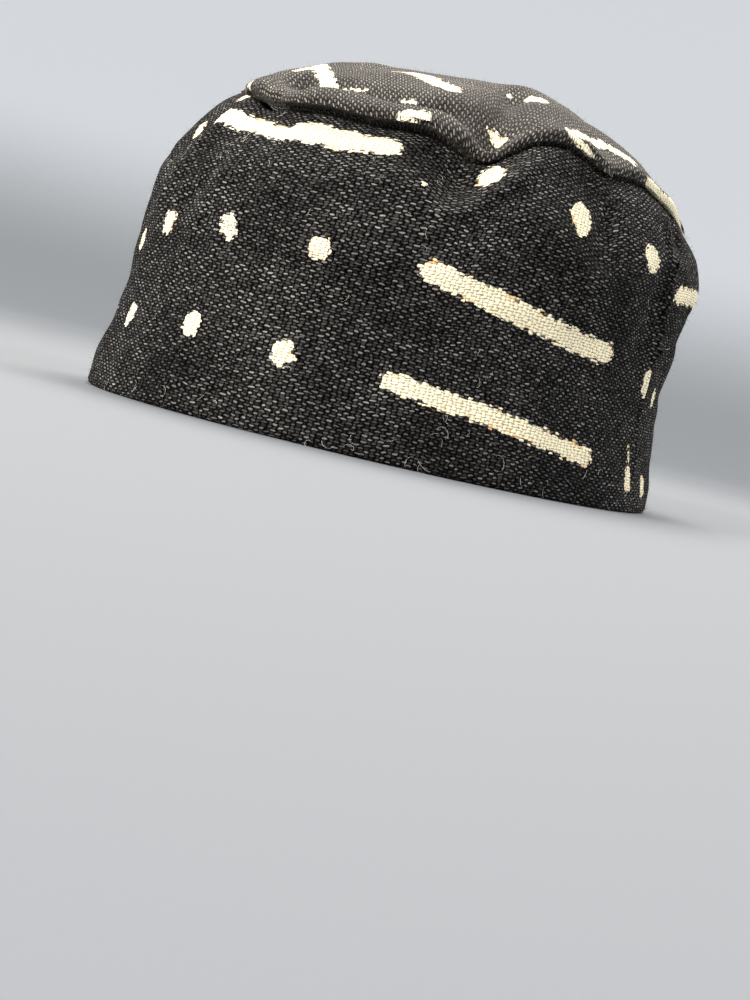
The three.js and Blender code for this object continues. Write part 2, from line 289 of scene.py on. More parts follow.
# %% Chart of the marks on the band
# (across, up), (across, up) ..., half width; the band's middle front is at across 0, its rim at up 0
BAND_MARKS = [
    ([(-53.8, 97.2), (-46, 96.4), (-36, 95.4), (-28, 95.4)], 3.9),  # long stroke over the forehead
    ([(-28, 94.8), (-19, 93.2), (-14, 93.4)], 3.1), ([(-13, 95.4), (-3, 96.3), (8, 96.2)], 4.5),
    ([(8, 96.2), (21.4, 96)], 3.6), ([(35.6, 85.2), (35.8, 85.3)], 0.6),
    ([(53.6, 96), (54.2, 98.2)], 3.7), ([(88.6, 88.2), (90.2, 85)], 3.9),
    ([(123.6, 81.2), (128, 80)], 3.7),
    ([(47.2, 59.1), (61.6, 55.8), (81, 52.2), (102, 49.2), (119.4, 48)], 3.2),
    ([(45.4, 24.2), (57, 22.8), (74, 20.9), (96, 18.1), (118.5, 15.1)], 2.8),
    ([(-68.4, 50.2), (-68.2, 49)], 2.7), ([(-45.9, 56.5), (-45.7, 55)], 3.2),
    ([(-16, 58.9), (-15.8, 57.4)], 3.1), ([(15.2, 58.3), (15.6, 57.9)], 3.2),
    ([(-54.5, 26.2), (-54.3, 24.6)], 2.7), ([(-18.7, 27.5), (-18.5, 25.7)], 2.9),
    ([(14.1, 25.2), (14.5, 23.8)], 3.2),
    ([(-65.6, 92), (-61, 88)], 2.0), ([(-60.6, 108.8), (-60.2, 108.4)], 2.8),
    ([(152.4, 44.6), (153, 41.4)], 3.0), ([(149.4, 12.2), (149.6, 9.6)], 2.8),
    ([(148.2, 20.6), (148.4, 17.2)], 1.1),
    # behind the side seam the chart starts again, and runs round the back to the right temple
    ([(-461, 73.2), (-430, 75.6), (-395, 74)], 2.6), ([(-442.4, 40), (-442, 38.4)], 2.3),
    ([(-444.6, 10), (-444.2, 8.4)], 2.9), ([(-411, 41), (-410.4, 38.6)], 3.0),
    ([(-380, 42.4), (-379, 40.2)], 2.8), ([(-413, 10.6), (-412.6, 8.8)], 2.9),
    ([(-382, 12), (-381.6, 10)], 3.0),
    ([(-364, 78), (-363.4, 75.8)], 2.9), ([(-333, 79.4), (-332.4, 77)], 3.1),
    ([(-303, 82), (-302.2, 79.6)], 2.8),
    ([(-352, 47), (-318, 42.6), (-282, 38.6)], 3.1), ([(-350, 17.4), (-314, 12.8), (-279, 9.4)], 3.0),
    ([(-276, 88), (-240, 84.4), (-204, 79.6)], 3.3),
    ([(-252, 47), (-251.4, 44.8)], 2.9), ([(-222, 48.4), (-221.2, 46)], 3.1),
    ([(-192, 51), (-191.6, 48.8)], 2.8),
    ([(-250, 17.4), (-249.6, 15.4)], 2.8), ([(-219, 19.4), (-218.4, 17.2)], 3.0),
    ([(-189, 22), (-188.6, 20)], 2.9),
    ([(-178, 90), (-177.2, 87.6)], 3.0), ([(-146, 91.4), (-145.4, 89)], 2.9),
    ([(-115, 94), (-114.2, 91.8)], 3.0),
    ([(-164, 58), (-128, 54.4), (-95, 51)], 3.2), ([(-162, 30), (-124, 25.6), (-88, 22.6)], 2.9),
]

# %% Chart of the marks on the top panel
# (right to left, front to back) on the flat oval, whose middle is at 0, 0
PANEL_MARKS = [
    ([(-41, -62), (-41, -54), (-39.9, -47.5)], 1.5),
    ([(-39.5, -48.5), (-33.7, -58.2), (-29.3, -64), (-20.6, -76.5)], 2.7),
    ([(-16, -76.5), (-8.4, -75.2)], 0.9),
    ([(-10.6, -45), (-3.9, -48.9)], 3.1), ([(-3.9, -48.9), (6.9, -54.1), (15, -58.4)], 3.3),
    ([(35, -38), (37, -38)], 3.1), ([(25.5, -36.9), (25.7, -36.6)], 0.8),
    ([(21.6, -103.2), (27.2, -104.7)], 2.3), ([(7, -77.4), (10, -76)], 0.9),
    ([(37.4, -68.8), (41.8, -70.6)], 1.7),
    ([(-55.4, -70.8), (-53.4, -73.6)], 2.6), ([(61.4, -62.6), (62.4, -57.7), (63, -48.7)], 2.5),
    ([(63, -48.7), (64.4, -40.8), (67.4, -37.5), (72.6, -33.6)], 2.2),
    ([(62.3, -64.4), (65.8, -62.3), (69.3, -59.8)], 1.5),
    ([(80.9, -27.8), (83.6, -15.4), (85.1, -1.8), (84.2, 11.9), (80.3, 33)], 2.5),
    # the rest of the crown carries on in the same way
    ([(-62, -20), (-40, -12)], 3.2), ([(-52, 16), (-50, 18)], 3.0), ([(-22, -6), (-20, -4.4)], 2.9),
    ([(8, 0), (10, 1.6)], 3.0), ([(30, 10), (52, 22)], 3.3), ([(38, 48), (40, 49.4)], 3.0),
    ([(8, 40), (10, 41.6)], 2.9),
    ([(-48, 50), (-24, 60)], 3.2), ([(-8, 78), (-6, 79.4)], 3.0), ([(22, 80), (42, 74)], 3.1),
    ([(-70, 22), (-68, 24)], 2.9), ([(-36, 34), (-34, 35.6)], 2.9),
]

# %% Distance to the nearest mark
NO_MARK = 99.0  # mm, where no mark is near


def mark_distance(across, up_cloth, marks):
    """Distance in mm from each place on the cloth to the nearest mark's edge, below zero inside the mark:
    the distance to the mark's line, piece by piece, less the half width."""
    nearest = np.full(np.shape(across), NO_MARK)
    for line, half_width in marks:
        for (ax, ay), (bx, by) in zip(line[:-1], line[1:]):
            run = (bx - ax) ** 2 + (by - ay) ** 2
            t = np.clip(((across - ax) * (bx - ax) + (up_cloth - ay) * (by - ay)) / run, 0, 1)
            gap = np.hypot(across - ax - t * (bx - ax), up_cloth - ay - t * (by - ay)) - half_width
            nearest = np.minimum(nearest, gap)
    return nearest


print(len(BAND_MARKS), "strokes and dots on the band,", len(PANEL_MARKS), "on the top panel")

# %% [markdown]
# ## From a grid of points to a piece of cloth
# Both pieces are grids of points: rows run up the cloth and columns run round the head. The inner face is
# the outer face moved in by the cloth's thickness, and the edges join the two, so each piece is closed.

# %% Outward directions and soft unevenness
WAVE_COUNT, WAVE_SPREAD = 18, (0.6, 1.3)


def grid_normals(points):
    """Outward directions of a grid: the step round crossed with the step up, made one long."""
    around = np.roll(points, -1, 1) - np.roll(points, 1, 1)
    normal = np.cross(around, np.gradient(points, axis=0))
    return normal / np.linalg.norm(normal, axis=-1, keepdims=True)


def soft_waves(points, length, seed):
    """Smooth random unevenness between about -1 and 1: the sum of many sine waves of about this length in
    mm, which run in random directions through space, divided by the root of their number."""
    random = np.random.default_rng(seed)
    ways = random.normal(size=(WAVE_COUNT, 3))
    faster = random.uniform(*WAVE_SPREAD, (WAVE_COUNT, 1))
    ways *= 2 * np.pi / length * faster / np.linalg.norm(ways, axis=1, keepdims=True)
    starts = random.uniform(0, 2 * np.pi, WAVE_COUNT)
    return np.sin(points @ ways.T + starts).sum(-1) / np.sqrt(WAVE_COUNT)


def smooth_step(value, low, high):
    """0 below low, 1 above high, and an S curve, 3t^2 - 2t^3, between them."""
    t = np.clip((value - low) / (high - low), 0, 1)
    return t * t * (3 - 2 * t)


def uneven(points, waves, share):
    """Moves a grid along its outward directions by soft waves: fully where share is 1, not at all at 0."""
    lift = sum(height * soft_waves(points, length, seed) for length, height, seed in waves)
    return points + grid_normals(points) * (lift * share)[..., None]


# %% From a grid to a closed mesh
def cloth_mesh(name, points, cloth_place, poles=None):
    """Puts a grid into a mesh in metres. Columns always close. Rows close too, or end in two poles: the first
    and last point and their places on the cloth. cloth_place has one more row and column than the grid,
    because each corner of a face keeps its own place."""
    rows, columns = points.shape[:2]
    spots = points.reshape(-1, 3)
    r, c = np.meshgrid(np.arange(rows if poles is None else rows - 1), np.arange(columns), indexing="ij")
    r2, c2 = r + 1, c + 1
    corners = np.stack([r * columns + c, r * columns + c2 % columns,
                        r2 % rows * columns + c2 % columns, r2 % rows * columns + c], -1).reshape(-1, 4)
    places = [cloth_place[r, c], cloth_place[r, c2], cloth_place[r2, c2], cloth_place[r2, c]]
    places = np.stack(places, -2).reshape(-1, 3)
    loops, sizes = corners.ravel(), np.full(len(corners), 4)
    if poles is not None:
        first, last, pole_places = poles
        i = np.arange(columns)
        j = (i + 1) % columns
        top, n = (rows - 1) * columns, len(spots)
        spots = np.concatenate([spots, [first, last]])
        start = np.stack([np.full(columns, n), j, i], -1)
        end = np.stack([i + top, j + top, np.full(columns, n + 1)], -1)
        first_place, last_place = np.repeat(np.array(pole_places)[:, None], columns, 1)
        start_places = np.stack([first_place, cloth_place[0, i + 1], cloth_place[0, i]], 1)
        end_places = np.stack([cloth_place[-1, i], cloth_place[-1, i + 1], last_place], 1)
        loops = np.concatenate([loops, start.ravel(), end.ravel()])
        sizes = np.concatenate([sizes, np.full(2 * columns, 3)])
        places = np.concatenate([places, start_places.reshape(-1, 3), end_places.reshape(-1, 3)])
    mesh = bpy.data.meshes.new(name)
    mesh.vertices.add(len(spots))
    mesh.vertices.foreach_set("co", (spots * MM).ravel().astype(np.float32))
    mesh.loops.add(len(loops))
    mesh.loops.foreach_set("vertex_index", loops.astype(np.int32))
    mesh.polygons.add(len(sizes))
    mesh.polygons.foreach_set("loop_start", np.concatenate([[0], np.cumsum(sizes)[:-1]]).astype(np.int32))
    mesh.polygons.foreach_set("loop_total", sizes.astype(np.int32))
    mesh.update(calc_edges=True)
    mesh.shade_smooth()
    held = mesh.attributes.new("cloth_place", "FLOAT_VECTOR", "CORNER")
    held.data.foreach_set("vector", places.ravel().astype(np.float32))
    mesh.validate()
    piece = bpy.data.objects.new(name, mesh)
    bpy.context.scene.collection.objects.link(piece)
    print(name, "has", int((sizes - 2).sum()), "triangles")
    return piece


# %% [markdown]
# ## The band
# The strip is cut about 13 cm wide: its lower edge is turned in by 20 mm as a hem, so the rim is a soft,
# thick fold, and its upper edge is turned in along the seam, more so at the front, where the roll hangs over
# it. The columns of the grid stand closer together at the side seam, where the strip's two ends meet, and
# they lean with that seam.

# %% Columns that lean with the side seam
NEAR_SEAM = np.array([0, 0.25, 0.5, 0.8, 1.2, 1.7])
COLUMNS = np.concatenate([NEAR_SEAM, np.linspace(2.3, 357.7, 560), 360 - NEAR_SEAM[:0:-1]])
# height, degrees
SEAM_PATH = [(0, 92), (14, 91.5), (30, 90.3), (55, 90), (67, 87.6), (82, 83.6), (101, 80.2)]
LEAN_REACH = 34  # degrees on each side of the side seam


def leaning(turn, height):
    """Column angles in degrees: even round the cap, shifted near the side seam so that they follow it. The
    shift falls off as (1 - away / reach)^1.5."""
    shift = np.interp(height, *np.array(SEAM_PATH).T) - SIDE_SEAM
    away_from_seam = np.minimum(turn, 360 - turn)
    return SIDE_SEAM - 360 + turn + shift * np.clip(1 - away_from_seam / LEAN_REACH, 0, 1) ** 1.5


# %% Outer face of the band, with its turned-in upper edge
BAND_CLOTH, HEM_CLOTH, HEM_HEIGHT = 1.8, 3.2, 20.0
RIM_RADIUS = HEM_CLOTH / 2
BAND_WAVES = [(34, 0.45, 3), (13, 0.22, 4)]  # length, height, seed
ROLL_MIDDLE, ROLL_REACH = -3, 34  # degrees
EDGE_REACH, EDGE_TUCK, ROLL_MORE = 2.4, 2.2, 1.6  # how high the edge is, how far in, and more under the roll

outer_shares = np.concatenate([np.linspace(RIM_RADIUS / SEAM_HEIGHT, 0.9, 78), np.linspace(0.907, 1, 14)])
band_turn, band_share = np.meshgrid(COLUMNS, outer_shares)
band_deg = leaning(band_turn, band_share * SEAM_HEIGHT)
deg_open, share_open = band_deg[:, :-1], band_share[:, :-1]
outer = band_surface(band_deg, band_share)[:, :-1]
outer = uneven(outer, BAND_WAVES, smooth_step(share_open, 0, 0.15) * smooth_step(1 - share_open, 0, 0.08))
band_facing = grid_normals(outer)

height_on_wall = lengths_up(outer)
from_top = height_on_wall[-1:] - height_on_wall
under_roll = np.exp(-((wrapped(deg_open[-1:] - ROLL_MIDDLE) / ROLL_REACH) ** 4))  # 1 where the roll overhangs
edge_reach = EDGE_REACH + ROLL_MORE * under_roll
tuck = (EDGE_TUCK + ROLL_MORE * under_roll) * smooth_step(edge_reach - from_top, 0, edge_reach)
outer = outer - band_facing * tuck[..., None]

# %% Hem, seam allowance and inner face of the band
HEM_STEP, ALLOWANCE_STEP = 1.2, 0.8  # mm over which the extra layer ends
ALLOWANCE_CLOTH, ALLOWANCE_REACH = 1.2, 9.0  # the seam allowance, pressed down inside
INNER_EVERY = 3  # the inner face needs only every third row
RIM_SWING = np.radians([150, 120, 90, 60, 30])[:, None, None]

in_hem = smooth_step(HEM_HEIGHT + HEM_STEP - outer[..., 2], 0, HEM_STEP)
depth = BAND_CLOTH + (HEM_CLOTH - BAND_CLOTH) * in_hem
depth = depth + ALLOWANCE_CLOTH * smooth_step(ALLOWANCE_REACH - from_top, 0, ALLOWANCE_STEP)
inner_rows = np.arange(len(outer))[::-1][::INNER_EVERY]
inner = (outer - band_facing * depth[..., None])[inner_rows]
inward = band_facing[0] * [1, 1, 0]
inward /= -np.linalg.norm(inward, axis=-1, keepdims=True)
rim_drop = outer[0, :, 2:] * np.sin(RIM_SWING) * [0, 0, 1]
rim = outer[0] + RIM_RADIUS * (1 - np.cos(RIM_SWING)) * inward - rim_drop
inner[-1] = outer[0] + 2 * RIM_RADIUS * inward
band_points = np.concatenate([inner, rim, outer])

# %% Places of the band's points on the flat strip
PAINTED_CREASE_SHADE = 200.0  # stored in place of the mark distance on the turned-in edges, where the colour is darkened to a tenth as painted shade in the crease
CREASE_SHADE_REACH, CREASE_SHADE_MORE = 1.8, 1.5  # mm of painted crease shade below the seam, and more of it under the roll

full_deg = np.concatenate([band_deg, band_deg[-1:]])
across = np.interp(full_deg, TURNS, ROUND)
across = across + (full_deg - SIDE_SEAM) * (full_deg > SIDE_SEAM) * BAND_MM_PER_DEG
across = across + (full_deg - SIDE_SEAM + 360) * (full_deg < SIDE_SEAM - 360) * BAND_MM_PER_DEG
on_wall = lengths_up(outer)  # this time with the turned-in edge
upward = np.concatenate([on_wall, on_wall[:, :1]], axis=1) + RIM_RADIUS
n_in, n_rim, n_out = len(inner), len(rim), len(outer)
band_up = np.concatenate([
    (2 - np.pi) * RIM_RADIUS - upward[inner_rows],
    RIM_RADIUS * (1 - RIM_SWING[:, :, 0]) * np.ones((1, upward.shape[1])),
    upward,
    upward[-1:] + BAND_CLOTH,
])
band_across = np.concatenate([
    across[inner_rows],
    np.repeat(across[:1], n_rim, 0),
    across[:n_out],
    across[n_out - 1 : n_out],
])
band_place = np.stack([band_across, band_up, mark_distance(band_across, band_up, BAND_MARKS)], -1)
# Painted shade: the strip just below the seam, wider under the roll, is marked to be darkened in the crease.
in_painted_crease_shade = from_top < CREASE_SHADE_REACH + CREASE_SHADE_MORE * under_roll
in_painted_crease_shade = np.concatenate([in_painted_crease_shade, in_painted_crease_shade[:, :1]], 1)
band_place[n_in + n_rim : n_in + n_rim + n_out, :, 2][in_painted_crease_shade] = PAINTED_CREASE_SHADE
side_band_cloth = cloth_mesh("side_band_cloth", band_points, band_place)
print("cloth height up the wall:", round(upward[-1].min(), 1), "to", round(upward[-1].max(), 1), "mm")

# %% [markdown]
# ## The top panel
# Its edge is turned in too, so a deep, dark crease runs round the cap where the two pieces meet. The grid
# runs from the seam to the middle of the crown, where all its columns end in one point.

# %% Outer face of the top panel
PANEL_CLOTH = 1.6
PANEL_WAVES = [(30, 0.4, 7), (12, 0.2, 8)]  # length, height, seed
PANEL_TUCKS = [(2.6, -1.9), (1.2, -1.0)]  # inward from the seam, and up

panel_rows = np.concatenate([np.linspace(0, 4, 56), np.linspace(4.07, 7.94, 58)])
panel_turn, panel_row = np.meshgrid(np.linspace(SIDE_SEAM - 360, SIDE_SEAM, 561), panel_rows)
crown = panel_surface(panel_turn, panel_row)[:, :-1]
row_open = panel_row[:, :-1]
crown = uneven(crown, PANEL_WAVES, smooth_step(row_open, 0.3, 1.6) * smooth_step(8 - row_open, 0.2, 2))
crown_facing = grid_normals(crown)
middle = crown[-1].mean(0)
edge_in = crown[0] - middle
edge_in[:, 2] = 0
edge_in /= -np.linalg.norm(edge_in, axis=-1, keepdims=True)
tuck_rows = np.stack([crown[0] + edge_in * inset + [0, 0, rise] for inset, rise in PANEL_TUCKS])

# %% Inner face of the top panel
inside_rows = np.arange(len(panel_rows))[:1:-INNER_EVERY]
crown_inner = (crown - crown_facing * PANEL_CLOTH)[inside_rows]
edge_inner = tuck_rows[:1] + edge_in * PANEL_CLOTH
panel_points = np.concatenate([crown_inner, edge_inner, tuck_rows, crown])
middle_out = [*middle[:2], middle[2] + 0.02]
middle_in = [*middle[:2], middle[2] - PANEL_CLOTH]

# %% Places of the panel's points on the flat oval
TUCKED = (4.8, 3.2, 1.6)  # mm beyond the seam, on the flat oval, of the turned-in rows

from_seam = lengths_up(crown)
whole = from_seam[-1:] + np.linalg.norm(crown[-1] - middle, axis=-1)
from_middle = np.concatenate([whole - from_seam, (whole - from_seam)[:, :1]], 1)
crown_flat = panel_flat(panel_turn, from_middle)
turned_in = [panel_flat(panel_turn[:1], from_middle[:1] + beyond_seam) for beyond_seam in TUCKED]
panel_xy = np.concatenate([crown_flat[inside_rows], *turned_in, crown_flat])
panel_marks = mark_distance(panel_xy[..., 0], panel_xy[..., 1], PANEL_MARKS)
panel_marks[: len(inside_rows)] = NO_MARK  # the marks are on the outside only
# Painted shade: the crown's turned-in rows are marked to be darkened in the crease.
panel_marks[len(inside_rows) : len(inside_rows) + len(TUCKED)] = PAINTED_CREASE_SHADE
panel_place = np.concatenate([panel_xy, panel_marks[..., None]], -1)
pole_places = ([0, 0, NO_MARK], [0, 0, float(mark_distance(0.0, 0.0, PANEL_MARKS))])
poles = (middle_in, middle_out, pole_places)
top_panel_cloth = cloth_mesh("top_panel_cloth", panel_points, panel_place, poles)
print("cloth from seam to middle:", round(whole.min(), 1), "to", round(whole.max(), 1), "mm")

# %% [markdown]
# ## Colours and nodes
# Colours are written as they are picked from a swatch, and one function turns them into the linear light
# values that a shader works with. One small function adds a node, so a material reads as a list of steps.

# %% Colour and node helpers
def linear(swatch):
    """sRGB hex to linear red, green, blue and alpha."""
    c = np.array([int(swatch[i : i + 2], 16) for i in (1, 3, 5)]) / 255
    c = np.where(c <= 0.04045, c / 12.92, ((c + 0.055) / 1.055) ** 2.4)
    return (*c.tolist(), 1.0)


def add(tree, kind, inputs, **settings):
    """Adds a node of this kind with its settings. An input that is a socket is linked, and any other value is
    set. Inputs are named, or counted from 0 where several have one name: a Map Range takes the value, the
    two ends it comes from and the two it goes to, and a colour Mix takes its share at 0 and colours at 6
    and 7."""
    node = tree.nodes.new("ShaderNode" + kind)
    for name, value in settings.items():
        setattr(node, name, value)
    for key, value in inputs.items():
        if isinstance(value, bpy.types.NodeSocket):
            tree.links.new(value, node.inputs[key])
        else:
            node.inputs[key].default_value = value
    return node


# %% [markdown]
# ## Mud cloth
# Coarse cotton, spun and woven by hand: thick wefts run round the head, over one thin warp and under the
# next. Each stretch of weft that comes up shows as a dash, and beside it the warp shows as a lower, darker
# hump, so the cloth is a chequer of cells 1.6 mm wide and 0.9 mm high. A dash is a rounded hump:
# 1 - side^2 across the yarn, less the fourth power of the way to its end. The same height makes the bump and
# the colour: light on the yarn tops, partly painted highlight, and down to black in the gaps and on the lower
# warps, painted shade. The dye is matt: no metal, and fuzz as sheen.

# %% Sizes and steps of the weave
WEFT_SPACING, WARP_SPACING = 0.90, 1.60  # mm

# result's name, Math operation (or RANGE for a Map Range), inputs as names or numbers
WEAVE_STEPS = [
    ("drift_x", "MULTIPLY_ADD", "sway", 3.2, "across"), ("drift_y", "MULTIPLY_ADD", "sway_2", 2.6, "up"),
    ("x", "MULTIPLY_ADD", "jitter", 2.2, "drift_x"), ("y", "MULTIPLY_ADD", "jitter_2", 0.9, "drift_y"),
    ("wefts", "DIVIDE", "y", WEFT_SPACING), ("weft", "FLOOR", "wefts"),
    ("in_weft", "SUBTRACT", "wefts", "weft"),
    ("weft_side", "MULTIPLY_ADD", "in_weft", 2.0, -1.0), ("side_fall", "MULTIPLY", "weft_side", "weft_side"),
    ("pairs", "DIVIDE", "x", 2 * WARP_SPACING), ("dashes", "MULTIPLY_ADD", "weft", 0.5, "pairs"),
    ("cells", "MULTIPLY_ADD", "dashes", 2.0, 0.5), ("cell", "FLOOR", "cells"),
    ("dash", "FLOOR", "dashes"), ("in_dash", "SUBTRACT", "dashes", "dash"),
    ("dash_end", "MULTIPLY_ADD", "in_dash", 2.0, -1.0), ("end_2", "MULTIPLY", "dash_end", "dash_end"),
    ("end_fall", "MULTIPLY", "end_2", "end_2"), ("end_way", "ABSOLUTE", "dash_end", 0.0),
    ("from_warp", "SUBTRACT", 1.0, "end_way"), ("warp_fall", "MULTIPLY", "from_warp", "from_warp"),
    ("round_yarn", "MULTIPLY_ADD", "side_fall", -0.9, 1.0),
    ("weft_top", "MULTIPLY_ADD", "end_fall", -7.0, "round_yarn"),
    ("warp_top", "MULTIPLY_ADD", "warp_fall", -2.2, 0.6), ("weave", "MAXIMUM", "weft_top", "warp_top"),
    ("height", "MULTIPLY_ADD", "fibre", 0.35, "weave"), ("depth", "RANGE", "weave", 0.05, 0.95),
]
# name, size in features per mm, detail, stretch up the cloth, place of its own
CLOTH_NOISE = [
    ("sway", 0.05, 1.0, 1.0, 0.0), ("sway_2", 0.04, 1.0, 1.0, 80.0), ("jitter", 0.5, 1.0, 1.0, 30.0),
    ("jitter_2", 0.4, 1.0, 1.0, 50.0), ("blotch", 0.16, 2.0, 1.0, 10.0), ("bite", 0.45, 2.0, 1.0, 60.0),
    ("fibre", 0.9, 2.0, 5.0, 20.0), ("wear", 0.035, 3.0, 1.0, 90.0),
]

# %% [markdown]
# ## Dye on the yarns, and painted shade in the creases
# The dye stops at whole dashes and soaks unevenly, so chance, one number for each cell of the chequer, is
# added to the distance to the mark. An ochre stain follows the marks' edges in patches. Most dashes are dull
# and a few are lighter, a square of the same chance: yarns that differ in tone, and painted highlights. On
# the turned-in edges the colour drops to a tenth: painted shade in the crease under the seam and the roll.

# %% Steps and colours of the dye
DYE_STEPS = [
    ("by_dash", "MULTIPLY_ADD", "chance", 1.7, "mark"), ("ragged", "MULTIPLY_ADD", "bite", 1.6, "by_dash"),
    ("bare", "RANGE", "ragged", 1.78, 1.6), ("ring", "RANGE", "ragged", 0.5, 1.9),
    ("patchy", "RANGE", "blotch", 0.54, 0.66), ("stain", "MULTIPLY", "ring", "patchy"),
    ("rare", "MULTIPLY", "chance", "chance"), ("shine", "MULTIPLY_ADD", "rare", "shine_spread", "dull"),
    ("fibrous", "MULTIPLY", "shine", "fibre"), ("worn", "MULTIPLY", "fibrous", "wear"),
    # Painted crease shade: where the mark holds the crease code, the colour drops to a tenth.
    ("crease_shade_mask", "GREATER_THAN", "mark", PAINTED_CREASE_SHADE * 0.75), ("crease_shade_factor", "MULTIPLY_ADD", "crease_shade_mask", -0.9, 1.0),
    ("shine_wear_and_crease_shade", "MULTIPLY", "worn", "crease_shade_factor"),
]
# depth in the weave, colour: the darker tones towards 0, in the gaps between yarns, are painted shade; the
# top of the dyed yarn differs from piece to piece, lighter on the crown as painted light
DYE_AND_GAP_SHADE_TONES = [(0.0, "#000000"), (0.35, "#060605"), (0.62, "#32302e")]
RAW_AND_GAP_SHADE_TONES = [(0.0, "#7d7050"), (0.25, "#cbbd97"), (0.5, "#e9dfc0"), (1.0, "#ece0bf")]
OCHRE = "#dda458"


def work_out(tree, values, steps):
    """Adds one node for each row of steps. Its inputs are numbers or the names of values already there."""
    for key, operation, *inputs in steps:
        filled = {i: values[v] if isinstance(v, str) else v for i, v in enumerate(inputs)}
        if operation == "RANGE":
            node = add(tree, "MapRange", filled)
        else:
            node = add(tree, "Math", filled, operation=operation)
        values[key] = node.outputs[0]


# %% Mud cloth material
MEAN_SHINE = 2.1


def mud_cloth(name, top_light, grain_turn, shine_spread, haze):
    """Material for one piece of mud cloth, with the yarns turned by grain_turn degrees on the flat cloth. The
    colour runs from black in the gaps between yarns, painted shade, up to top_light on the yarn tops, partly
    the dye and partly painted highlight. The dashes differ in lightness by shine_spread, and haze is the
    share of fuzz, from 0 to 1. The turned-in edges are darkened to a tenth as painted crease shade."""
    material = bpy.data.materials.new(name)
    material.use_nodes = True
    tree = material.node_tree
    tree.nodes.clear()
    held = add(tree, "Attribute", {}, attribute_name="cloth_place", attribute_type="GEOMETRY")
    turn = {"Vector": held.outputs["Vector"], "Angle": np.radians(grain_turn)}
    on_cloth = add(tree, "VectorRotate", turn, rotation_type="Z_AXIS").outputs[0]
    parts = add(tree, "SeparateXYZ", {0: on_cloth}).outputs
    values = {"across": parts["X"], "up": parts["Y"], "mark": parts["Z"]}
    for key, size, detail, stretch, shift in CLOTH_NOISE:
        spread = add(tree, "VectorMath", {0: on_cloth, 1: (1, stretch, 0), 2: (shift, shift, 0)},
                     operation="MULTIPLY_ADD").outputs[0]
        noise = add(tree, "TexNoise", {"Vector": spread, "Scale": size, "Detail": detail})
        values[key] = noise.outputs["Fac"]
    work_out(tree, values, WEAVE_STEPS)

    cell = add(tree, "CombineXYZ", {0: values["cell"], 1: values["weft"]}).outputs[0]
    values["chance"] = add(tree, "TexWhiteNoise", {"Vector": cell}, noise_dimensions="3D").outputs["Value"]
    values["shine_spread"] = shine_spread
    values["dull"] = MEAN_SHINE - shine_spread / 3  # so that the mean stays the same
    work_out(tree, values, DYE_STEPS)

    tones = []
    # Painted shade and highlight: each ramp darkens from the yarn tops into the gaps between yarns.
    for (low, low_tone), *between, (high, high_tone) in (DYE_AND_GAP_SHADE_TONES + [(1.0, top_light)], RAW_AND_GAP_SHADE_TONES):
        ramp = add(tree, "ValToRGB", {0: values["depth"]})
        ramp.color_ramp.elements[0].color = linear(low_tone)
        ramp.color_ramp.elements[1].color = linear(high_tone)
        for place, tone in between:
            ramp.color_ramp.elements.new(place).color = linear(tone)
        tones.append(ramp.outputs[0])
    dyed = add(tree, "VectorMath", {0: tones[0], "Scale": values["shine_wear_and_crease_shade"]}, operation="SCALE").outputs[0]
    stained = add(tree, "Mix", {0: values["stain"], 6: tones[1], 7: linear(OCHRE)},
                  data_type="RGBA", blend_type="MULTIPLY").outputs[2]
    colour = add(tree, "Mix", {0: values["bare"], 6: dyed, 7: stained}, data_type="RGBA").outputs[2]
    bump = add(tree, "Bump", {"Height": values["height"], "Distance": 0.00034, "Strength": 1.0}).outputs[0]
    skin = add(tree, "BsdfPrincipled", {
        "Base Color": colour, "Roughness": 0.88, "IOR": 1.5, "Normal": bump,
        "Specular IOR Level": 0.03 + 2 * haze, "Sheen Weight": 0.015 + haze, "Sheen Roughness": 0.4,
        "Sheen Tint": linear("#cfc6ba"),
    })
    add(tree, "OutputMaterial", {0: skin.outputs[0]})
    return material


# The crown's cloth is a lighter, flatter copy of the band's, with lighter yarn tops and less spread between
# the dashes: painted light on the top of the cap.
side_band_cloth.data.materials.append(mud_cloth("mud cloth on the band with painted shade", "#76736f", 0.0, 3.4, 0.0))
top_panel_cloth.data.materials.append(mud_cloth("mud cloth on the crown with painted light and shade", "#9b9082", 60.0, 1.5, 0.09))

# %% [markdown]
# ## Fuzz and lint
# Hand-spun cotton is never clean: short fibre ends stand off it everywhere and soften its outline, and a few
# long pale hairs of lint cling to it in curls. Hair particles could make them, but a joined mesh keeps them
# in the exported model. Each fibre is a closed spindle with three sides, thickest in the middle.

# %% Fibres as one mesh
ASIDE = [0.31, 0.52, 0.79]  # a direction that no fibre runs along


